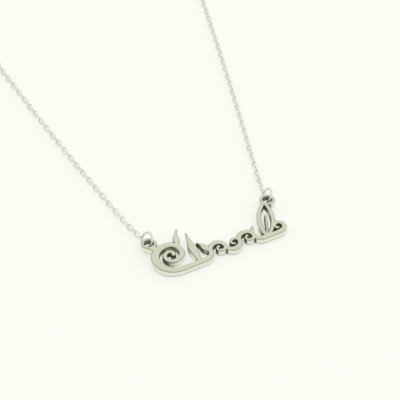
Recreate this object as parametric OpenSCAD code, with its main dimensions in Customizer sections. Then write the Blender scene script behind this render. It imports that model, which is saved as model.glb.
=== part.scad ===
// Necklace with a pierced scroll plate, lying closed on a flat surface.
// The surface is the plane z = 0. The plate's width runs along X and the chain runs away along +Y.
// The origin is on the surface, under the middle of the plate.

/* [Plate] */
// Thickness of the plate
plate_t = 1.5; // [1:0.1:1.6]
// Distance between the centres of the two end loops
loop_span = 31.8; // [31.8:0.1:32.4]
// Height of the end loops above the middle of the plate
loop_y = 4.9; // [4.8:0.1:5]
// Outer diameter of an end loop
loop_od = 3.7; // [3.6:0.1:3.9]
// Hole in an end loop
loop_id = 2.15; // [2.1:0.05:2.3]
// Gap under the plate at its end loops, where the rings pass
loop_gap = 0.72; // [0.72:0.02:0.8]
// Slant of the strokes, as sideways run for each unit of height
slant = 0.14; // [0.1:0.01:0.16]

/* [Rings on the plate] */
// Wire of a ring
ring_wire = 0.55; // [0.45:0.05:0.55]
// Mean radius of a ring
ring_r = 1.85; // [1.8:0.05:1.9]
// Gap under a ring or the clasp
rest_gap = 0.03; // [0.02:0.01:0.04]

/* [Chain] */
// Wire of a link
link_wire = 0.35; // [0.3:0.05:0.35]
// Length of the opening in a link
link_open_l = 1.88; // [1.85:0.01:1.9]
// Width of the opening in a link
link_open_w = 0.8; // [0.8:0.05:0.9]
// Play between a link and the next
link_play = 0.16; // [0.16:0.01:0.18]
// Links from the left ring to the clasp
left_links = 104; // [99:1:108]
// Links from the right ring to the clasp
right_links = 99; // [94:1:103]

/* [Clasp] */
// Distance from the eye to the middle of the hook
clasp_l = 6; // [5.5:0.1:7]
// Greatest diameter of the barrel
barrel_d = 2.4; // [2.3:0.1:2.5]
// Wire of the hook
hook_wire = 0.8; // [0.7:0.05:0.8]
// Mean radius of the hook
hook_r = 1.8; // [1.75:0.05:1.9]
// Outer diameter of the eye
eye_od = 2.3; // [2.2:0.1:2.4]
// Hole in the eye
eye_id = 1.3; // [1.3:0.05:1.4]
// Thickness of the eye
eye_t = 0.6; // [0.5:0.05:0.6]
// Wire of a ring at the clasp
clasp_ring_wire = 0.45; // [0.4:0.05:0.45]
// Mean radius of a ring at the clasp
clasp_ring_r = 1.3; // [1.3:0.05:1.4]

/* [Hidden] */

steel = "silver";

// Largest turn between two points of a stroke's edge, and the longest run between them
step_turn = 6;
step_run = 0.6;

// Sides of a stroke's round end, of a larger circle and of a wire
cap_fn = 48;
round_fn = 72;
wire_fn = 24;

// How much wider than its stroke a round end is, so that their outlines cross and never just touch
cap_share = 1.02;

// Lowest point of the plate's outline
plate_low = -6.75;
plate_tilt = asin(loop_gap / (loop_y - plate_low));

// Point after a share f of an arc: turn t in degrees at radius r, or a straight run of r where t is 0
function arc_point(p, heading, t, r, f) = t == 0
    ? p + f * r * [cos(heading), sin(heading)]
    : p + sign(t) * r * [
        sin(heading + f * t) - sin(heading),
        cos(heading) - cos(heading + f * t)
    ];

// A smooth rise from 0 to 1
function ease(f) = (1 - cos(180 * f)) / 2;

// Strokes of the plate. A start is [x, y, heading, width], and a row is [turn, radius, width at its end].
START_X = 0;
START_Y = 1;
START_HEADING = 2;
START_WIDTH = 3;
ROW_TURN = 0;
ROW_RADIUS = 1;
ROW_WIDTH = 2;

// A pose on a stroke is [point, heading, width]
POSE_POINT = 0;
POSE_HEADING = 1;
POSE_WIDTH = 2;

// The poses at the ends of the rows
function row_poses(start, rows) = [
    for (
        k = 0,
            p = [start[START_X], start[START_Y]],
            heading = start[START_HEADING],
            w = start[START_WIDTH];
        k <= len(rows);
        p = k < len(rows) ? arc_point(p, heading, rows[k][ROW_TURN], rows[k][ROW_RADIUS], 1) : p,
        heading = k < len(rows) ? heading + rows[k][ROW_TURN] : heading,
        w = k < len(rows) ? rows[k][ROW_WIDTH] : w,
        k = k + 1
    ) [p, heading, w]
];

function row_length(row) = row[ROW_TURN] == 0
    ? row[ROW_RADIUS]
    : abs(row[ROW_TURN]) * PI / 180 * row[ROW_RADIUS];

function row_steps(row) = max(
    2,
    ceil(abs(row[ROW_TURN]) / step_turn),
    ceil(row_length(row) / step_run)
);

function slanted_point(p) = [p[0] + slant * p[1], p[1]];

function slanted_heading(heading) = atan2(sin(heading), cos(heading) + slant * sin(heading));

// Poses along the middle of a stroke
function centre_line(start, rows) =
    let (poses = row_poses(start, rows))
    [
        for (k = [0 : len(rows) - 1])
            let (row = rows[k], n = row_steps(row))
            for (j = [0 : (k == len(rows) - 1 ? n : n - 1)])
                let (
                    f = j / n,
                    p = arc_point(
                        poses[k][POSE_POINT],
                        poses[k][POSE_HEADING],
                        row[ROW_TURN],
                        row[ROW_RADIUS],
                        f
                    )
                )
                [
                    slanted_point(p),
                    slanted_heading(poses[k][POSE_HEADING] + f * row[ROW_TURN]),
                    poses[k][POSE_WIDTH] + ease(f) * (poses[k + 1][POSE_WIDTH] - poses[k][POSE_WIDTH])
                ]
    ];

function edge(line, side) = [
    for (q = line)
        q[POSE_POINT] + side * q[POSE_WIDTH] / 2 * [-sin(q[POSE_HEADING]), cos(q[POSE_HEADING])]
];

module stroke(start, rows) {
    line = centre_line(start, rows);
    left = edge(line, 1);
    n = len(line);
    polygon(concat(edge(line, -1), [for (k = [1 : n]) left[n - k]]));
    for (q = [line[0], line[n - 1]])
        translate(q[POSE_POINT]) circle(d = cap_share * q[POSE_WIDTH], $fn = cap_fn);
}

// The stem's left end, coiled into a large volute that carries the left end loop
module volute() {
    stroke(
        [-9.0, -5.95, 180, 1.5],
        [
            [0, 3.6, 1.6], [-90, 4.7, 2.0], [-90, 3.8, 1.7], [-90, 3.0, 1.4],
            [-90, 2.5, 1.2], [-90, 1.9, 1.1], [-90, 1.4, 1.0], [-110, 0.9, 1.2]
        ]
    );
    stroke([-16.6, 3.6, -60, 1.7], [[0, 1.2, 1.9]]);
    stroke([-9.0, -5.95, 0, 1.5], [[0, 2.7, 1.4], [90, 2.02, 1.2]]);
}

// A fan of three pointed leaves, from the volute's shoulder to the foot of the wavy stem
module fan() {
    stroke([-10.9, 1.2, 62, 1.2], [[16, 7, 1.6], [-26, 7, 0.5]]);
    stroke([-7.9, -5.7, 88, 1.1], [[0, 4.4, 2.0], [-5, 58, 0.5]]);
    stroke([-4.3, -4.0, 122, 1.0], [[-16, 7, 1.7], [28, 4.7, 0.5]]);
}

// A wavy stem with a curl in each bend: radius and number of its bends, middle of the first, and its end
wave_r = 1.9;
wave_bends = 3;
wave_x = -2.35;
wave_y = -4.0;
wave_end_x = wave_x + (2 * wave_bends - 1) * wave_r;
module wave() {
    for (k = [0 : wave_bends - 1]) {
        side = k % 2 == 0 ? 1 : -1;
        x = wave_x + 2 * k * wave_r;
        stroke(
            [x - wave_r, wave_y, side * 90, 1.2],
            [[-side * 90, wave_r, 1.4], [-side * 90, wave_r, 1.2]]
        );
        stroke(
            [x + wave_r, wave_y, -side * 90, 1.1],
            [[-side * 150, 1.08, 0.75], [-side * 110, 0.65, 0.85]]
        );
    }
    stroke([7.1, -3.4, 72, 0.9], [[-10, 8, 0.9], [-6, 8, 0.5]]);
}

// A tall pierced leaf with a short midrib, which carries the right end loop, and the stem's
// curled end
module right_motif() {
    stroke(
        [wave_end_x, wave_y, -90, 1.2],
        [[90, wave_r, 1.4], [0, 4.5, 1.3], [120, 1.6, 1.2], [130, 1.05, 0.8], [90, 0.7, 0.9]]
    );
    stroke([10.1, -6.0, 104, 1.1], [[-34, 9.8, 1.1], [-34, 9.8, 1.0]]);
    stroke([10.1, -6.0, 35, 1.0], [[34, 9.8, 1.1], [34, 9.8, 1.0]]);
    stroke([10.1, -6.0, 69.5, 0.8], [[0, 6.6, 0.6]]);
}

module plate_outline() {
    difference() {
        union() {
            volute();
            fan();
            wave();
            right_motif();
            for (side = [-1, 1])
                translate([side * loop_span / 2, loop_y]) circle(d = loop_od, $fn = round_fn);
        }
        for (side = [-1, 1])
            translate([side * loop_span / 2, loop_y]) circle(d = loop_id, $fn = round_fn);
    }
}

module scroll_plate() {
    color(steel)
        translate([0, plate_low, 0])
        rotate([plate_tilt, 0, 0])
        translate([0, -plate_low, 0])
        linear_extrude(plate_t) plate_outline();
}

// Vectors
function unit(v) = v / norm(v);
function cross2(a, b) = a[0] * b[1] - a[1] * b[0];
function level(heading) = [cos(heading), sin(heading), 0];

// A standing ring is [centre, azimuth, lean]. It leans to its left. Its angle 0 points along its azimuth.
RING_CENTRE = 0;
RING_AZIMUTH = 1;
RING_LEAN = 2;

function ring_height(r, wire, lean) = r * cos(lean) + wire / 2 + rest_gap;
function ring_up(ring) =
    cos(ring[RING_LEAN]) * [0, 0, 1] + sin(ring[RING_LEAN]) * level(ring[RING_AZIMUTH] + 90);
function ring_point(ring, r, a) =
    ring[RING_CENTRE] + r * (cos(a) * level(ring[RING_AZIMUTH]) + sin(a) * ring_up(ring));
function ring_tangent(ring, a) = cos(a) * ring_up(ring) - sin(a) * level(ring[RING_AZIMUTH]);

module standing_ring(ring, r, wire) {
    color(steel)
        translate(ring[RING_CENTRE])
        rotate([90 - ring[RING_LEAN], 0, ring[RING_AZIMUTH]])
        rotate_extrude($fn = round_fn) translate([r, 0]) circle(d = wire, $fn = wire_fn);
}

// How a ring stands in its loop: [right of the loop's centre, above it, azimuth, lean]
STANCE_X = 0;
STANCE_Y = 1;
STANCE_AZIMUTH = 2;
STANCE_LEAN = 3;
LEFT_STANCE = [0.3, 1.35, -90, 32];
RIGHT_STANCE = [0.75, 1.3, 75, -32];

// The ring in an end loop, on the left where side is -1 and on the right where it is 1
function plate_ring(side, stance) = [
    [
        side * loop_span / 2 + stance[STANCE_X],
        loop_y + stance[STANCE_Y],
        ring_height(ring_r, ring_wire, stance[STANCE_LEAN])
    ],
    stance[STANCE_AZIMUTH],
    stance[STANCE_LEAN]
];

LEFT_RING = plate_ring(-1, LEFT_STANCE);
RIGHT_RING = plate_ring(1, RIGHT_STANCE);

// Angle round each ring at which the chain's first link holds it
LEFT_HOLD = 205;
RIGHT_HOLD = 345;

module ring_left() {
    standing_ring(LEFT_RING, ring_r, ring_wire);
}

module ring_right() {
    standing_ring(RIGHT_RING, ring_r, ring_wire);
}

// The chain. Links alternate a quarter turn about the chain and rest on their edges.
pitch = link_open_l - link_play;
link_r = (link_open_w + link_wire) / 2;
link_straight = link_open_l - link_open_w;

// Links over which each end of the chain comes down to the surface and rolls to its resting pose
lead_links = 5;

// Roll of the links that rest, how much it varies, and how far round that goes from link to link
rest_roll = 45;
roll_play = 5;
roll_phase = 137;

// Lean of the rings at the clasp
clasp_lean = 25;

module link() {
    for (side = [0, 180])
        rotate([0, 0, side]) {
            translate([link_straight / 2, 0, 0])
                rotate([0, 0, -90])
                rotate_extrude(angle = 180, $fn = wire_fn)
                translate([link_r, 0]) circle(d = link_wire, $fn = wire_fn);
            translate([-link_straight / 2, link_r, 0])
                rotate([0, 90, 0]) cylinder(d = link_wire, h = link_straight, $fn = wire_fn);
        }
}

// Distance from a ring's wire to the middle of the link that holds it. The wire crosses the link aslant.
function hold(wire, direction, tangent) =
    (link_open_l + link_wire) / 2
    - ((link_wire + wire) / 2 + link_play) / sqrt(1 - pow(direction * tangent, 2));

// Roll about its own length at which a link lies square to a wire
function square_roll(direction, tangent) =
    let (
        side = unit([-direction[1], direction[0], 0]),
        up = cross(direction, side),
        roll = atan2(-(tangent * side), tangent * up)
    )
    roll < 0 ? roll + 180 : roll;

function falloff(k, n) = k >= n ? 0 : ease(1 - k / n);
function is_odd(k) = k % 2 == 1;

// One side of the chain: [ring, hold angle, heading, turn of the long bow, turn of the far bend, links]
SIDE_RING = 0;
SIDE_HOLD = 1;
SIDE_HEADING = 2;
SIDE_BOW = 3;
SIDE_BEND = 4;
SIDE_LINKS = 5;
LEFT_SIDE = [LEFT_RING, LEFT_HOLD, 88.8, -6, -96.4, left_links];
RIGHT_SIDE = [RIGHT_RING, RIGHT_HOLD, 67.5, 2.5, 96.4, right_links];

// Heading where a side's bow turns into its bend, and where the bend ends
function bend_heading(side) = side[SIDE_HEADING] + side[SIDE_BOW];
function end_heading(side) = bend_heading(side) + side[SIDE_BEND];

// The first link, which slopes down from the ring
first_slope = 6;
function side_tangent(side) = ring_tangent(side[SIDE_RING], side[SIDE_HOLD]);
function first_direction(side) =
    cos(first_slope) * level(side[SIDE_HEADING]) - sin(first_slope) * [0, 0, 1];
function first_link(side) =
    ring_point(side[SIDE_RING], ring_r, side[SIDE_HOLD])
    + hold(ring_wire, first_direction(side), side_tangent(side)) * first_direction(side);
function first_roll(side) = square_roll(first_direction(side), side_tangent(side));

// The ring at the clasp leans so that the last link is near the roll it has anyway
function last_roll(side) = is_odd(side[SIDE_LINKS] - 1) ? 90 - clasp_lean : clasp_lean;
function last_lean(side) = is_odd(side[SIDE_LINKS] - 1) ? clasp_lean : -clasp_lean;
function last_height(side) = ring_height(clasp_ring_r, clasp_ring_wire, clasp_lean);

// How much link k still follows the first link, and the last
function near_share(k) = falloff(k, lead_links);
function far_share(side, k) = falloff(side[SIDE_LINKS] - 1 - k, lead_links);

// Roll of link k, and its height above the surface
function base_roll(side, k) =
    rest_roll
    + near_share(k) * (first_roll(side) - rest_roll)
    + far_share(side, k) * (last_roll(side) - rest_roll);
function free_roll(side, k) =
    roll_play * sin(roll_phase * k) * (1 - near_share(k) - far_share(side, k));
function link_roll(side, k) = base_roll(side, k) + free_roll(side, k) + (is_odd(k) ? 90 : 0);
function rest_height(side, k) = link_wire / 2 + link_r * abs(sin(link_roll(side, k))) + rest_gap;
function link_height(side, k) =
    let (near = near_share(k), far = far_share(side, k))
    near * first_link(side)[2] + far * last_height(side) + (1 - near - far) * rest_height(side, k);

// Level distance from link k to the next
function level_step(side, k) =
    sqrt(pow(pitch, 2) - pow(link_height(side, k + 1) - link_height(side, k), 2));

// Distance along the route to each link
function run(side) = [
    for (
        k = 0, s = 0;
        k < side[SIDE_LINKS];
        s = s + (k < side[SIDE_LINKS] - 1 ? level_step(side, k) : 0),
        k = k + 1
    ) s
];

function last(v) = v[len(v) - 1];

// Where each piece stands on the clasp's line, from the last link on the left to the last on the right
eye_rim_r = (eye_od + eye_id) / 4;
clasp_slack = 0.35;
clasp_hold = (link_open_l - clasp_ring_wire) / 2 - link_play;
CLASP_RING_LEFT_X = clasp_hold + clasp_ring_r;
EYE_X = CLASP_RING_LEFT_X + clasp_slack + eye_rim_r;
HOOK_X = EYE_X + clasp_l;
CLASP_RING_RIGHT_X = HOOK_X + hook_r + clasp_slack;
CLASP_SPAN = CLASP_RING_RIGHT_X + clasp_ring_r + clasp_hold;

// Radii of the two arcs on each side, from the chain's length and the loop's closing at the clasp
function per_radius(heading, turn) = arc_point([0, 0], heading, turn, 1, 1);
function bow_vector(side) = per_radius(side[SIDE_HEADING], side[SIDE_BOW]);
function bend_vector(side) =
    per_radius(bend_heading(side), side[SIDE_BEND])
    - side[SIDE_BEND] / side[SIDE_BOW] * bow_vector(side);
function bow_reach(side, length) = length / (abs(side[SIDE_BOW]) * PI / 180) * bow_vector(side);
function bow_radius(side, length, bend_radius) =
    (length - bend_radius * abs(side[SIDE_BEND]) * PI / 180) / (abs(side[SIDE_BOW]) * PI / 180);

function plan(p) = [p[0], p[1]];

clasp_heading = end_heading(LEFT_SIDE);
LEFT_START = plan(first_link(LEFT_SIDE));
RIGHT_START = plan(first_link(RIGHT_SIDE));
LEFT_RUN = run(LEFT_SIDE);
RIGHT_RUN = run(RIGHT_SIDE);
closing =
    RIGHT_START - LEFT_START
    + bow_reach(RIGHT_SIDE, last(RIGHT_RUN)) - bow_reach(LEFT_SIDE, last(LEFT_RUN))
    - CLASP_SPAN * plan(level(clasp_heading));
left_bend = bend_vector(LEFT_SIDE);
right_bend = bend_vector(RIGHT_SIDE);
LEFT_R = cross2(closing, right_bend) / cross2(left_bend, right_bend);
RIGHT_R = cross2(closing, left_bend) / cross2(left_bend, right_bend);

// Point at a distance s along a side's bow and bend, which together are of the given length
function route_point(side, start, length, bend_r, s) =
    let (
        bow_r = bow_radius(side, length, bend_r),
        bow_l = bow_r * abs(side[SIDE_BOW]) * PI / 180,
        corner = arc_point(start, side[SIDE_HEADING], side[SIDE_BOW], bow_r, 1)
    )
    s < bow_l
        ? arc_point(start, side[SIDE_HEADING], side[SIDE_BOW], bow_r, s / bow_l)
        : arc_point(corner, bend_heading(side), side[SIDE_BEND], bend_r, (s - bow_l) / (length - bow_l));

function middles(side, start, run_list, bend_r) = [
    for (k = [0 : side[SIDE_LINKS] - 1])
        let (p = route_point(side, start, last(run_list), bend_r, run_list[k]))
        [p[0], p[1], link_height(side, k)]
];

function link_direction(side, points, k) =
    k == 0
        ? first_direction(side)
        : (k == len(points) - 1
            ? level(end_heading(side))
            : unit(points[k + 1] - points[k - 1]));

module chain(side, points) {
    color(steel)
        for (k = [0 : len(points) - 1]) {
            direction = link_direction(side, points, k);
            translate(points[k])
                rotate([0, -asin(direction[2]), atan2(direction[1], direction[0])])
                rotate([link_roll(side, k), 0, 0]) link();
        }
}

module chain_left() {
    chain(LEFT_SIDE, middles(LEFT_SIDE, LEFT_START, LEFT_RUN, LEFT_R));
}

module chain_right() {
    chain(RIGHT_SIDE, middles(RIGHT_SIDE, RIGHT_START, RIGHT_RUN, RIGHT_R));
}

// The clasp and its rings, on a line from the last link on the left
CLASP_START = route_point(LEFT_SIDE, LEFT_START, last(LEFT_RUN), LEFT_R, last(LEFT_RUN));

function on_clasp_line(x, z) =
    [CLASP_START[0], CLASP_START[1], z] + x * level(clasp_heading);

module clasp_ring(side, x, azimuth) {
    centre = on_clasp_line(x, last_height(side));
    standing_ring([centre, azimuth, last_lean(side)], clasp_ring_r, clasp_ring_wire);
}

module clasp_ring_left() {
    clasp_ring(LEFT_SIDE, CLASP_RING_LEFT_X, clasp_heading);
}

module clasp_ring_right() {
    clasp_ring(RIGHT_SIDE, CLASP_RING_RIGHT_X, clasp_heading + 180);
}

// Barrel of the clasp along x, rooted in the eye at x = -clasp_l and in the hook round the origin: steps
// of its outline, radius of its ends, and how deep they go into the eye and the hook
barrel_steps = 12;
barrel_end_r = 0.6;
barrel_root = 0.25;
module barrel() {
    from = -clasp_l + eye_id / 2 + barrel_root;
    to = -hook_r + barrel_root;
    rotate([0, 90, 0])
        rotate_extrude($fn = round_fn)
        polygon([
            [0, from],
            for (k = [0 : barrel_steps])
                let (f = k / barrel_steps)
                [
                    barrel_end_r + (barrel_d / 2 - barrel_end_r) * sin(180 * f),
                    from + f * (to - from)
                ],
            [0, to]
        ]);
}

module clasp() {
    color(steel)
        translate(on_clasp_line(HOOK_X, barrel_d / 2 + rest_gap))
        rotate([0, 0, clasp_heading])
        difference() {
            union() {
                rotate_extrude($fn = round_fn)
                    translate([hook_r, 0]) circle(d = hook_wire, $fn = wire_fn);
                barrel();
                translate([-clasp_l, 0, -eye_t / 2]) cylinder(d = eye_od, h = eye_t, $fn = round_fn);
            }
            translate([-clasp_l, 0, -eye_t]) cylinder(d = eye_id, h = 2 * eye_t, $fn = round_fn);
        }
}

scroll_plate();
ring_left();
ring_right();
chain_left();
chain_right();
clasp();
clasp_ring_left();
clasp_ring_right();
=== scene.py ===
"""A scroll pendant necklace that lies closed on a pale surface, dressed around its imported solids."""

import logging
import math
from collections.abc import Iterable
from dataclasses import dataclass
from enum import Enum, IntEnum
from typing import Any, Protocol

import bmesh
import bpy
import numpy as np
from mathutils import Matrix, Vector
from mathutils.bvhtree import BVHTree


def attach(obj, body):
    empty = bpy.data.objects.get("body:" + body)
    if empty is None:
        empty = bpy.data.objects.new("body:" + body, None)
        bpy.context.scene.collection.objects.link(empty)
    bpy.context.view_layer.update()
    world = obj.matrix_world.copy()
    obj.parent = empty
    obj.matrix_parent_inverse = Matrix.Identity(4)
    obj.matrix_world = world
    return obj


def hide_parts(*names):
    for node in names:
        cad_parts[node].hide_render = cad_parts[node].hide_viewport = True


LOG = logging.getLogger("necklace")
MM = 0.001

# The one body, and the vertex attribute that says how closed in a place is, which sets how much painted
# shade lies there
BODY = "root"
HOLLOW = "hollow"

# Corners of triangles nearer than this, in metres, are one point
SAME_POINT = 1e-7

# A Mix node's colour sockets share their names with its number sockets, so they go by number
MIX_SHARE, MIX_FIRST, MIX_SECOND, MIX_RESULT = 0, 6, 7, 2

Colour = tuple[float, float, float, float]

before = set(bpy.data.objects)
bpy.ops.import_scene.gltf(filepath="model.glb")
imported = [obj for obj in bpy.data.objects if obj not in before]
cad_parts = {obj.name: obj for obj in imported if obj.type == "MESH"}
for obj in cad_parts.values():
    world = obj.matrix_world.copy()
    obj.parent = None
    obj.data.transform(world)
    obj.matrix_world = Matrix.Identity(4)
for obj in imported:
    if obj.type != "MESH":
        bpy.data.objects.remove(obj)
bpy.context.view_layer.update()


class Slot(Enum):
    """Names of three material slots."""

    PLATE = "satin_steel"
    RING = "polished_wire"
    CHAIN = "chain_wire"


def linear(colour: str) -> Colour:
    """Turns an sRGB hex colour to the linear values that a shader takes.

    Args:
        colour: The colour, such as "#c8c8b8".

    Returns:
        Red, green, blue and an alpha of 1.
    """
    shares = [int(colour[k : k + 2], 16) / 255 for k in (1, 3, 5)]
    red, green, blue = (
        share / 12.92 if share <= 0.04045 else ((share + 0.055) / 1.055) ** 2.4 for share in shares
    )
    return red, green, blue, 1.0


def add_node(
    tree: bpy.types.NodeTree, kind: str, sockets: dict[str | int, Any] | None = None, **settings: Any
) -> bpy.types.Node:
    """Adds a shader node.

    Args:
        tree: The tree that it goes in.
        kind: The node's type.
        sockets: A value, or another node's output socket, for each input that is set.
        settings: The node's own settings.

    Returns:
        The new node.
    """
    node = tree.nodes.new(kind)
    for name, value in settings.items():
        setattr(node, name, value)
    for key, value in (sockets or {}).items():
        if isinstance(value, bpy.types.NodeSocket):
            tree.links.new(value, node.inputs[key])
        else:
            node.inputs[key].default_value = value
    return node


class Finish(Protocol):
    """What every finish gives."""

    def material(self) -> bpy.types.Material:
        """Makes the material, or finds it if it is there already."""


def new_material(name: str) -> tuple[bpy.types.Material, bpy.types.Node]:
    """Starts a material with a metal shader.

    Args:
        name: The material's name.

    Returns:
        The material and its Principled BSDF node.
    """
    material = bpy.data.materials.new(name)
    material.use_nodes = True
    shader = material.node_tree.nodes["Principled BSDF"]
    shader.inputs["Metallic"].default_value = 1.0
    return material, shader


@dataclass(frozen=True)
class SatinFace:
    """Stainless steel, its flat face rubbed lengthways on a fine abrasive belt.

    The belt leaves short lines along the plate, which spread each reflection across them and show
    as a faint grain. Broad soft clouds are where the hand pressed more or less.

    Attributes:
        name: The material's name.
        colour: The steel.
        cloud_colour: The steel where the belt cut deeper.
        roughness: Lowest and highest roughness of the face.
        line_mm: Width of a rubbed line. A real one is 0.03 mm, too fine to show.
        line_long: How many times longer than wide a line is.
        cloud_mm: Size of a cloud.
        depth_mm: Depth of a line.
    """

    name: str = "belt_rubbed_stainless_steel"
    colour: str = "#d8d9ca"
    cloud_colour: str = "#cbccbc"
    roughness: tuple[float, float] = (0.26, 0.4)
    line_mm: float = 0.16
    line_long: float = 14.0
    cloud_mm: float = 3.5
    depth_mm: float = 0.012

    def material(self) -> bpy.types.Material:
        """Makes the material.

        Returns:
            The material.
        """
        if self.name in bpy.data.materials:
            return bpy.data.materials[self.name]
        material, shader = new_material(self.name)
        tree = material.node_tree
        place = add_node(tree, "ShaderNodeTexCoord").outputs["Object"]
        fine = 1 / (self.line_mm * MM)
        lines_place = add_node(
            tree, "ShaderNodeMapping", {"Vector": place, "Scale": (fine / self.line_long, fine, fine)}
        )
        lines = add_node(
            tree,
            "ShaderNodeTexNoise",
            {"Vector": lines_place.outputs["Vector"], "Scale": 1.0, "Detail": 3.0, "Roughness": 0.6},
        ).outputs[0]
        clouds = add_node(
            tree,
            "ShaderNodeTexNoise",
            {"Vector": place, "Scale": 1 / (self.cloud_mm * MM), "Detail": 2.0},
        ).outputs[0]
        colour = add_node(
            tree,
            "ShaderNodeMix",
            {MIX_SHARE: clouds, MIX_FIRST: linear(self.colour), MIX_SECOND: linear(self.cloud_colour)},
            data_type="RGBA",
        ).outputs[MIX_RESULT]
        tree.links.new(colour, shader.inputs["Base Color"])
        low, high = self.roughness
        rough = add_node(tree, "ShaderNodeMapRange", {"Value": lines, "To Min": low, "To Max": high})
        tree.links.new(rough.outputs["Result"], shader.inputs["Roughness"])
        bump = add_node(
            tree, "ShaderNodeBump", {"Height": lines, "Distance": self.depth_mm * MM, "Strength": 0.6}
        )
        tree.links.new(bump.outputs["Normal"], shader.inputs["Normal"])
        return material


@dataclass(frozen=True)
class TumbledSteel:
    """Stainless steel that was tumbled with steel shot until it shone.

    The shot leaves a mirror with shallow dimples, so that reflections ripple a little, and a grey
    veil of rouge stays where the shot can't press.

    Attributes:
        name: The material's name.
        colour: The bright steel.
        veil_colour: The steel under the grey veil.
        roughness: Lowest and highest roughness.
        dimple_mm: Size of a dimple.
        depth_mm: Depth of a dimple.
        painted_shade_colour: Painted shade: the grey that darkens the piece's hollows and lower rims, if it
            has any.
        painted_shade_roughness: Roughness where that painted shade lies.
        painted_shade_range: How hollow a place is where the painted shade starts to show, and where it is
            whole.
    """

    name: str
    colour: str
    veil_colour: str
    roughness: tuple[float, float]
    dimple_mm: float
    depth_mm: float
    painted_shade_colour: str = ""
    painted_shade_roughness: float = 0.5
    painted_shade_range: tuple[float, float] = (0.06, 0.2)

    def material(self) -> bpy.types.Material:
        """Makes the material.

        Returns:
            The material.
        """
        if self.name in bpy.data.materials:
            return bpy.data.materials[self.name]
        material, shader = new_material(self.name)
        tree = material.node_tree
        place = add_node(tree, "ShaderNodeTexCoord").outputs["Object"]
        dimples = add_node(
            tree,
            "ShaderNodeTexNoise",
            {"Vector": place, "Scale": 1 / (self.dimple_mm * MM), "Detail": 1.5},
        ).outputs[0]
        colour = add_node(
            tree,
            "ShaderNodeMix",
            {MIX_SHARE: dimples, MIX_FIRST: linear(self.colour), MIX_SECOND: linear(self.veil_colour)},
            data_type="RGBA",
        ).outputs[MIX_RESULT]
        low, high = self.roughness
        rough = add_node(
            tree, "ShaderNodeMapRange", {"Value": dimples, "To Min": low, "To Max": high}
        ).outputs["Result"]
        # Painted shade: hollows and lower rims are darkened to a grey by how closed in each place is
        if self.painted_shade_colour:
            hollow = add_node(tree, "ShaderNodeAttribute", attribute_name=HOLLOW).outputs["Fac"]
            start, full = self.painted_shade_range
            painted_shade = add_node(
                tree,
                "ShaderNodeMapRange",
                {"Value": hollow, "From Min": start, "From Max": full},
                interpolation_type="SMOOTHSTEP",
            ).outputs["Result"]
            colour = add_node(
                tree,
                "ShaderNodeMix",
                {MIX_SHARE: painted_shade, MIX_FIRST: colour, MIX_SECOND: linear(self.painted_shade_colour)},
                data_type="RGBA",
            ).outputs[MIX_RESULT]
            rough = add_node(
                tree, "ShaderNodeMapRange", {"Value": painted_shade, "To Min": rough, "To Max": self.painted_shade_roughness}
            ).outputs["Result"]
        tree.links.new(colour, shader.inputs["Base Color"])
        tree.links.new(rough, shader.inputs["Roughness"])
        bump = add_node(
            tree, "ShaderNodeBump", {"Height": dimples, "Distance": self.depth_mm * MM, "Strength": 0.5}
        )
        tree.links.new(bump.outputs["Normal"], shader.inputs["Normal"])
        return material


# The rims' tumbled steel is painted darker than the walls' as painted shade, so a dark line shows along each
# rim
PLATE_RIM_PAINTED_SHADE = TumbledSteel(
    name="tumbled_steel_rim_painted_shade",
    colour="#bdbeae",
    veil_colour="#b0b1a1",
    roughness=(0.08, 0.16),
    dimple_mm=0.9,
    depth_mm=0.008,
    painted_shade_colour="#75745f",
)
PLATE_EDGE = TumbledSteel(
    name="tumbled_steel_edge",
    colour="#f2f2ea",
    veil_colour="#e6e6da",
    roughness=(0.08, 0.18),
    dimple_mm=0.9,
    depth_mm=0.01,
    painted_shade_colour="#6e6c57",
)
RING_WIRE = TumbledSteel(
    name="tumbled_steel_ring_wire",
    colour="#e3e5e1",
    veil_colour="#d3d5ce",
    roughness=(0.08, 0.18),
    dimple_mm=0.5,
    depth_mm=0.006,
)
CHAIN_WIRE = TumbledSteel(
    name="tumbled_steel_chain_wire",
    colour="#f0f3ec",
    veil_colour="#dfe3d7",
    roughness=(0.12, 0.26),
    dimple_mm=0.4,
    depth_mm=0.006,
)
CLASP_CASTING = TumbledSteel(
    name="tumbled_steel_casting",
    colour="#e2e2d8",
    veil_colour="#cfcfc2",
    roughness=(0.14, 0.26),
    dimple_mm=0.8,
    depth_mm=0.012,
)


@dataclass(frozen=True)
class WirePose:
    """How a bent piece of wire lies.

    Attributes:
        middle: Its middle, in metres.
        along: The way in which it is longest.
        facing: The way in which it is thinnest.
    """

    middle: Vector
    along: Vector
    facing: Vector

    def matrix(self) -> Matrix:
        """Works out how a piece that is made about the origin is put in this pose.

        Returns:
            The matrix that takes a piece made lying along x, thinnest in z, to this pose.
        """
        across = self.facing.cross(self.along)
        turn = Matrix((self.along, across, self.facing)).transposed()
        return Matrix.Translation(self.middle) @ turn.to_4x4()


def node_triangles(node: str) -> np.ndarray:
    """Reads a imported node's triangles.

    Args:
        node: The node's name.

    Returns:
        An array of triangles, each with three corners in metres.
    """
    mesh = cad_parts[node].data
    mesh.calc_loop_triangles()
    points = np.empty(3 * len(mesh.vertices))
    mesh.vertices.foreach_get("co", points)
    corners = np.empty(3 * len(mesh.loop_triangles), np.int32)
    mesh.loop_triangles.foreach_get("vertices", corners)
    return points.reshape(-1, 3)[corners.reshape(-1, 3)]


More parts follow.
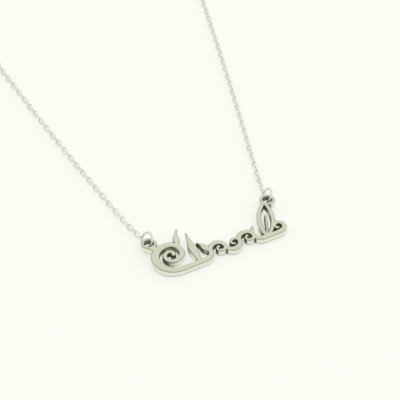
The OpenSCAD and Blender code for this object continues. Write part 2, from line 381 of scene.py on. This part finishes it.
def shells(triangles: np.ndarray) -> list[np.ndarray]:
    """Parts a node's triangles into its closed solids.

    Args:
        triangles: The node's triangles.

    Returns:
        The triangles of each solid, in the order in which the node holds them.
    """
    places = np.round(triangles.reshape(-1, 3) / SAME_POINT).astype(np.int64)
    _, corners = np.unique(places, axis=0, return_inverse=True)
    corners = corners.reshape(-1, 3)
    labels = np.arange(corners.max() + 1)
    # Each point takes the lowest label in its triangles, until no label changes
    while True:
        lowest = labels[corners].min(axis=1)
        merged = labels.copy()
        np.minimum.at(merged, corners.ravel(), np.repeat(lowest, 3))
        merged = merged[merged]
        if np.array_equal(merged, labels):
            break
        labels = merged
    owner = labels[corners[:, 0]]
    _, first = np.unique(owner, return_index=True)
    return [triangles[owner == owner[k]] for k in sorted(first)]


def wire_pose(triangles: np.ndarray) -> WirePose:
    """Finds how a link or ring lies from how its skin is spread about its middle.

    Args:
        triangles: The triangles of one solid.

    Returns:
        Its pose.
    """
    centres = triangles.mean(axis=1)
    sides = triangles[:, 1:] - triangles[:, :1]
    areas = np.linalg.norm(np.cross(sides[:, 0], sides[:, 1]), axis=1)
    middle = (centres * areas[:, None]).sum(axis=0) / areas.sum()
    spread = centres - middle
    _, ways = np.linalg.eigh((spread * areas[:, None]).T @ spread)
    return WirePose(Vector(middle), Vector(ways[:, 2]), Vector(ways[:, 0]))


def finished_object(
    name: str, mesh: bmesh.types.BMesh, finishes: Iterable[Finish], replaced: Iterable[str]
) -> bpy.types.Object:
    """Turns a finished mesh into a piece that rides on the body.

    Args:
        name: The piece's name.
        mesh: Its mesh, in metres and in place. It is freed.
        finishes: A finish for each material index of the mesh.
        replaced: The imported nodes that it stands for.

    Returns:
        The piece's object.
    """
    data = bpy.data.meshes.new(name)
    for face in mesh.faces:
        face.smooth = True
    mesh.to_mesh(data)
    mesh.free()
    for finish in finishes:
        data.materials.append(finish.material())
    piece = bpy.data.objects.new(name, data)
    bpy.context.scene.collection.objects.link(piece)
    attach(piece, BODY)
    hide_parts(*replaced)
    return piece


class SubAssembly(Protocol):
    """What every sub-assembly gives."""

    def build(self) -> list[bpy.types.Object]:
        """Builds and dresses its pieces."""


@dataclass(frozen=True)
class Rims:
    """How the rims of a flat-faced casting are rounded.

    Attributes:
        radius_mm: Radius of the rounding.
        steps: Flats in it.
        level_share: How level a face is, as the height of its normal, to count as a flat face.
        upright_share: How level it may be at most to count as a wall.
        flat_degrees: Triangles nearer to level with each other than this are one face.
        weld_mm: Points nearer than this are one point.
    """

    radius_mm: float
    steps: int = 3
    level_share: float = 0.99
    upright_share: float = 0.12
    flat_degrees: float = 0.3
    weld_mm: float = 0.001

    def is_level(self, face: bmesh.types.BMFace) -> bool:
        """Tells whether a face is one of the casting's flat faces."""
        return abs(face.normal.z) > self.level_share

    def is_wall(self, face: bmesh.types.BMFace) -> bool:
        """Tells whether a face stands upright."""
        return abs(face.normal.z) < self.upright_share

    def rounded_copy(self, node: str) -> bmesh.types.BMesh:
        """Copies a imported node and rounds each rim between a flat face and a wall.

        Args:
            node: The node's name.

        Returns:
            The rounded mesh.
        """
        mesh = bmesh.new()
        mesh.from_mesh(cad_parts[node].data)
        bmesh.ops.remove_doubles(mesh, verts=mesh.verts, dist=self.weld_mm * MM)
        bmesh.ops.dissolve_limit(
            mesh, angle_limit=math.radians(self.flat_degrees), verts=mesh.verts, edges=mesh.edges
        )
        rims = [
            edge
            for edge in mesh.edges
            if len({self.is_level(face) for face in edge.link_faces}) == 2
        ]
        bmesh.ops.bevel(
            mesh,
            geom=rims,
            offset=self.radius_mm * MM,
            offset_type="OFFSET",
            segments=self.steps,
            profile=0.5,
            affect="EDGES",
            clamp_overlap=False,
            material=-1,
            miter_outer="ARC",
            spread=self.radius_mm * MM,
        )
        return mesh


class PlateSurface(IntEnum):
    """The kinds of surface on the plate, in the order of its finishes."""

    FACE = 0
    RIM = 1
    WALL = 2


@dataclass
class ScrollPlate:
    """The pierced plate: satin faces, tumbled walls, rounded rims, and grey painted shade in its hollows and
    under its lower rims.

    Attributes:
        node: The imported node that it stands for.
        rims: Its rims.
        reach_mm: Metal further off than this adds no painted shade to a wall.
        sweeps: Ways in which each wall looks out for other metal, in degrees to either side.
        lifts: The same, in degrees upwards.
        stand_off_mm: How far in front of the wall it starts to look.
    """

    node: str = "scroll_plate"
    rims: Rims = Rims(radius_mm=0.24, steps=4)
    reach_mm: float = 2.5
    sweeps: tuple[float, ...] = (-60.0, -30.0, 0.0, 30.0, 60.0)
    lifts: tuple[float, ...] = (0.0, 25.0, 50.0)
    stand_off_mm: float = 0.01

    def build(self) -> list[bpy.types.Object]:
        """Builds and dresses the plate.

        Returns:
            The plate.
        """
        mesh = self.rims.rounded_copy(self.node)
        for face in mesh.faces:
            face.material_index = self.surface(face)
        self.mark_hollows(mesh)
        finishes = (SatinFace(), PLATE_RIM_PAINTED_SHADE, PLATE_EDGE)
        piece = finished_object("pierced_plate", mesh, finishes, [self.node])
        steady = piece.modifiers.new("level_faces", "WEIGHTED_NORMAL")
        steady.keep_sharp = True
        return [piece]

    def surface(self, face: bmesh.types.BMFace) -> PlateSurface:
        """Tells which kind of surface a face is part of.

        Args:
            face: A face of the plate.

        Returns:
            The kind of surface.
        """
        if self.rims.is_level(face):
            return PlateSurface.FACE
        return PlateSurface.WALL if self.rims.is_wall(face) else PlateSurface.RIM

    def mark_hollows(self, mesh: bmesh.types.BMesh) -> None:
        """Stores at each point of the walls and rims how closed in it is, from 0 to 1.

        The value sets the painted shade there. The lower rims get the full value, a painted contact shadow
        where the plate meets the table.

        Args:
            mesh: The plate.
        """
        tree = BVHTree.FromBMesh(mesh)
        shares = {
            face: self.closed_in(tree, face)
            for face in mesh.faces
            if face.material_index != PlateSurface.FACE
        }
        layer = mesh.verts.layers.float.new(HOLLOW)
        for vert in mesh.verts:
            near = [shares[face] for face in vert.link_faces if face in shares]
            vert[layer] = sum(near) / len(near) if near else 0.0
            # Painted contact shadow: the lower rims take the darkest painted shade
            if max(face.normal.z for face in vert.link_faces) < -self.rims.upright_share:
                vert[layer] = 1.0

    def closed_in(self, tree: BVHTree, face: bmesh.types.BMFace) -> float:
        """Finds how much other metal stands close in front of a face.

        Args:
            tree: The plate's faces.
            face: A face of a wall or rim.

        Returns:
            0 where the face looks out freely, up to 1 where metal stands against it.
        """
        ahead = Vector((face.normal.x, face.normal.y, 0)).normalized()
        start = face.calc_center_median() + self.stand_off_mm * MM * face.normal
        reach = self.reach_mm * MM
        total = 0.0
        for sweep in self.sweeps:
            for lift in self.lifts:
                rise = math.radians(lift)
                level = Matrix.Rotation(math.radians(sweep), 3, "Z") @ ahead
                look = math.cos(rise) * level + math.sin(rise) * Vector((0, 0, 1))
                distance = tree.ray_cast(start, look, reach)[3]
                total += 1 - distance / reach if distance is not None else 0
        return total / (len(self.sweeps) * len(self.lifts))


@dataclass(frozen=True)
class RingGauge:
    """The size of a jump ring.

    Attributes:
        wire_mm: The wire.
        radius_mm: Mean radius of the ring.
    """

    wire_mm: float
    radius_mm: float


PLATE_RING = RingGauge(wire_mm=0.55, radius_mm=1.85)
CLASP_RING = RingGauge(wire_mm=0.45, radius_mm=1.3)


@dataclass
class JumpRing:
    """A round ring of wire, its cut ends pushed together.

    Attributes:
        node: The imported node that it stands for.
        gauge: Its size.
        wire_sides: Flats round the wire.
        ring_steps: Steps round the ring.
        cut_step: The step at which the ends meet.
        cut_share: How much slimmer the wire is where its ends meet, from the burr taken off.
        cut_mm: Half the length of wire that is taken as the cut.
    """

    node: str
    gauge: RingGauge
    wire_sides: int = 14
    ring_steps: int = 64
    cut_step: int = 5
    cut_share: float = 0.1
    cut_mm: float = 0.01

    def build(self) -> list[bpy.types.Object]:
        """Builds and dresses the ring.

        Returns:
            The ring.
        """
        mesh = bmesh.new()
        circle = bmesh.ops.create_circle(
            mesh, cap_ends=False, segments=self.wire_sides, radius=self.gauge.wire_mm * MM / 2
        )
        out = Vector((self.gauge.radius_mm * MM, 0, 0))
        bmesh.ops.transform(
            mesh,
            matrix=Matrix.Translation(out) @ Matrix.Rotation(math.radians(90), 4, "X"),
            verts=circle["verts"],
        )
        bmesh.ops.spin(
            mesh,
            geom=mesh.verts[:] + mesh.edges[:],
            cent=(0, 0, 0),
            axis=(0, 0, 1),
            angle=math.tau,
            steps=self.ring_steps,
            use_merge=True,
        )
        self.mark_cut(mesh)
        bmesh.ops.recalc_face_normals(mesh, faces=mesh.faces)
        pose = wire_pose(node_triangles(self.node))
        bmesh.ops.transform(mesh, matrix=pose.matrix(), verts=mesh.verts)
        return [finished_object(f"{self.node}_wire", mesh, (RING_WIRE,), [self.node])]

    def mark_cut(self, mesh: bmesh.types.BMesh) -> None:
        """Slims the wire at the one step where its ends meet.

        Args:
            mesh: The ring, lying flat about the origin.
        """
        angle = math.tau * self.cut_step / self.ring_steps
        middle = self.gauge.radius_mm * MM * Vector((math.cos(angle), math.sin(angle), 0))
        reach = self.gauge.wire_mm * MM
        side = Vector((-math.sin(angle), math.cos(angle), 0))
        cut = [
            vert
            for vert in mesh.verts
            if (vert.co - middle).length < reach
            and abs((vert.co - middle).dot(side)) < self.cut_mm * MM
        ]
        slim = 1 - self.cut_share
        bmesh.ops.scale(mesh, vec=(slim, slim, slim), space=Matrix.Translation(-middle), verts=cut)


@dataclass
class LinkChain:
    """One side of the chain: oval links of round wire, each soldered shut.

    Attributes:
        node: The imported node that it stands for.
        wire_mm: The wire.
        open_long_mm: Length of the opening.
        open_wide_mm: Width of the opening.
        wire_sides: Flats round the wire.
        bend_steps: Steps in each round end.
    """

    node: str
    wire_mm: float = 0.35
    open_long_mm: float = 1.88
    open_wide_mm: float = 0.8
    wire_sides: int = 8
    bend_steps: int = 4

    def link(self) -> bpy.types.Mesh:
        """Makes one link, lying along x about the origin.

        Returns:
            The link's mesh.
        """
        bend = (self.open_wide_mm + self.wire_mm) / 2 * MM
        half_straight = (self.open_long_mm - self.open_wide_mm) / 2 * MM
        mesh = bmesh.new()
        circle = bmesh.ops.create_circle(
            mesh, cap_ends=False, segments=self.wire_sides, radius=self.wire_mm * MM / 2
        )
        bmesh.ops.transform(
            mesh,
            matrix=Matrix.Translation((half_straight, -bend, 0)) @ Matrix.Rotation(math.radians(90), 4, "Y"),
            verts=circle["verts"],
        )
        first = mesh.edges[:]
        last = self.bend_round(mesh, first, half_straight)
        moved = bmesh.ops.extrude_edge_only(mesh, edges=last)["geom"]
        bmesh.ops.translate(
            mesh,
            vec=(-2 * half_straight, 0, 0),
            verts=[part for part in moved if isinstance(part, bmesh.types.BMVert)],
        )
        last = [part for part in moved if isinstance(part, bmesh.types.BMEdge) and len(part.link_faces) == 1]
        last = self.bend_round(mesh, last, -half_straight)
        bmesh.ops.bridge_loops(mesh, edges=first + last)
        bmesh.ops.recalc_face_normals(mesh, faces=mesh.faces)
        data = bpy.data.meshes.new("link")
        mesh.to_mesh(data)
        mesh.free()
        return data

    def bend_round(
        self, mesh: bmesh.types.BMesh, edges: list[bmesh.types.BMEdge], x: float
    ) -> list[bmesh.types.BMEdge]:
        """Bends the wire on through half a turn.

        Args:
            mesh: The link so far.
            edges: The open end that the bend starts from.
            x: Where the bend's centre is along the link.

        Returns:
            The open end that the bend leaves.
        """
        verts = list({vert for edge in edges for vert in edge.verts})
        turned = bmesh.ops.spin(
            mesh,
            geom=verts + edges,
            cent=(x, 0, 0),
            axis=(0, 0, 1),
            angle=math.pi,
            steps=self.bend_steps,
        )
        return [part for part in turned["geom_last"] if isinstance(part, bmesh.types.BMEdge)]

    def build(self) -> list[bpy.types.Object]:
        """Builds and dresses this side of the chain.

        Returns:
            The chain.
        """
        link = self.link()
        mesh = bmesh.new()
        for solid in shells(node_triangles(self.node)):
            placed = link.copy()
            placed.transform(wire_pose(solid).matrix())
            mesh.from_mesh(placed)
            bpy.data.meshes.remove(placed)
        bpy.data.meshes.remove(link)
        return [finished_object(f"{self.node}_links", mesh, (CHAIN_WIRE,), [self.node])]


@dataclass
class HookClasp:
    """The plain clasp behind the neck: an eye, a swelling barrel and a round hook in one casting.

    Attributes:
        node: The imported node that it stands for.
        rims: The rims of its flat eye.
    """

    node: str = "clasp"
    rims: Rims = Rims(radius_mm=0.12, level_share=0.9999)

    def build(self) -> list[bpy.types.Object]:
        """Builds and dresses the clasp.

        Returns:
            The clasp.
        """
        mesh = self.rims.rounded_copy(self.node)
        return [finished_object("hook_clasp", mesh, (CLASP_CASTING,), [self.node])]


def heading(azimuth: float, elevation: float) -> Vector:
    """Turns a bearing to a direction.

    Args:
        azimuth: Degrees from +y towards -x.
        elevation: Degrees above the level.

    Returns:
        The direction, of length 1.
    """
    turn, rise = math.radians(azimuth), math.radians(elevation)
    return Vector((-math.sin(turn) * math.cos(rise), math.cos(turn) * math.cos(rise), math.sin(rise)))


@dataclass(frozen=True)
class Studio:
    """A pale light table in a soft white room, and the camera at the photograph's angle.

    The table shines a little of itself, which leaves only faint shadows. The room is dimmer low down
    behind the camera, so that the rims on this side mirror it as a thin dark line.

    Attributes:
        look_at_mm: The point at the middle of the picture.
        distance_mm: From there to the camera.
        azimuth: The way the camera looks, in degrees from +y towards -x.
        elevation: How far above the table the camera is, in degrees.
        focal_px: Focal length in pixels of the picture.
        picture_px: Width of the picture in pixels.
        sensor_mm: Width of the camera's sensor.
        clip_start_m: Nearest that the camera sees.
        table_m: Radius of the table.
        table_sides: Sides of the table.
        table_colour: The table.
        table_roughness: Its roughness.
        glow_colour: The light from inside the table.
        glow_strength: How bright it is.
        room_colour: The white walls and ceiling that light the table.
        room_strength: How bright they are on the left, and on the right.
        dim: Bearing and height of the middle of the room's dim end, in degrees.
        dim_edges: Degrees from its middle at which it is whole, and at which it ends.
        dim_share: How bright it is, as a share of the rest.
    """

    look_at_mm: tuple[float, float, float] = (3.8, 15.05, 0.0)
    distance_mm: float = 500.0
    azimuth: float = -31.0
    elevation: float = 37.6
    focal_px: float = 2131.0
    picture_px: float = 400.0
    sensor_mm: float = 36.0
    clip_start_m: float = 0.01
    table_m: float = 3.0
    table_sides: int = 96
    table_colour: str = "#9a9a9a"
    table_roughness: float = 0.9
    glow_colour: str = "#fbfef5"
    glow_strength: float = 0.656
    room_colour: str = "#fbfcf6"
    room_strength: tuple[float, float] = (0.9, 1.2)
    dim: tuple[float, float] = (149.0, -45.0)
    dim_edges: tuple[float, float] = (76.0, 86.0)
    dim_share: float = 0.45

    def camera(self) -> None:
        """Sets up the camera."""
        ahead = heading(self.azimuth, -self.elevation)
        data = bpy.data.cameras.new("camera")
        data.sensor_width = self.sensor_mm
        data.lens = self.focal_px / self.picture_px * self.sensor_mm
        data.clip_start = self.clip_start_m
        camera = bpy.data.objects.new("camera", data)
        camera.location = MM * (Vector(self.look_at_mm) - self.distance_mm * ahead)
        camera.rotation_euler = ahead.to_track_quat("-Z", "Y").to_euler()
        bpy.context.scene.collection.objects.link(camera)
        bpy.context.scene.camera = camera

    def table(self) -> None:
        """Lays the table."""
        mesh = bmesh.new()
        bmesh.ops.create_circle(mesh, cap_ends=True, segments=self.table_sides, radius=self.table_m)
        data = bpy.data.meshes.new("table")
        mesh.to_mesh(data)
        mesh.free()
        material = bpy.data.materials.new("frosted_light_panel")
        material.use_nodes = True
        shader = material.node_tree.nodes["Principled BSDF"]
        shader.inputs["Base Color"].default_value = linear(self.table_colour)
        shader.inputs["Roughness"].default_value = self.table_roughness
        shader.inputs["Emission Color"].default_value = linear(self.glow_colour)
        shader.inputs["Emission Strength"].default_value = self.glow_strength
        data.materials.append(material)
        table = bpy.data.objects.new("table", data)
        bpy.context.scene.collection.objects.link(table)

    def room(self) -> None:
        """Lights the room."""
        world = bpy.data.worlds.new("room")
        world.use_nodes = True
        bpy.context.scene.world = world
        tree = world.node_tree
        background = tree.nodes["Background"]
        background.inputs["Color"].default_value = linear(self.room_colour)
        look = add_node(tree, "ShaderNodeTexCoord").outputs["Generated"]
        # Cosines of the angles between the way a ray looks and two places: the right wall and the dim end
        rightwards, dimwards = (
            add_node(
                tree, "ShaderNodeVectorMath", {0: look, 1: heading(*place)}, operation="DOT_PRODUCT"
            ).outputs["Value"]
            for place in ((self.azimuth - 90, 0.0), self.dim)
        )
        left, right = self.room_strength
        wash = add_node(
            tree,
            "ShaderNodeMapRange",
            {"Value": rightwards, "From Min": -1.0, "To Min": left, "To Max": right},
        )
        whole, end = (math.cos(math.radians(degrees)) for degrees in self.dim_edges)
        lit = add_node(
            tree,
            "ShaderNodeMapRange",
            {"Value": dimwards, "From Min": whole, "From Max": end, "To Min": self.dim_share},
            interpolation_type="SMOOTHSTEP",
        )
        strength = add_node(
            tree,
            "ShaderNodeMath",
            {0: wash.outputs["Result"], 1: lit.outputs["Result"]},
            operation="MULTIPLY",
        )
        tree.links.new(strength.outputs["Value"], background.inputs["Strength"])

    def build(self) -> None:
        """Sets up the camera, the table and the light."""
        bpy.context.scene.view_settings.view_transform = "Standard"
        self.camera()
        self.table()
        self.room()


def main() -> None:
    """Builds the studio and then the necklace, piece by piece."""
    logging.basicConfig(level=logging.INFO, format="%(name)s: %(message)s")
    Studio().build()
    parts: list[SubAssembly] = [
        ScrollPlate(),
        JumpRing("ring_left", PLATE_RING),
        JumpRing("ring_right", PLATE_RING),
        LinkChain("chain_left"),
        LinkChain("chain_right"),
        HookClasp(),
        JumpRing("clasp_ring_left", CLASP_RING),
        JumpRing("clasp_ring_right", CLASP_RING),
    ]
    for part in parts:
        for piece in part.build():
            LOG.info("%s: %d faces", piece.name, len(piece.data.polygons))


if __name__ == "__main__":
    main()
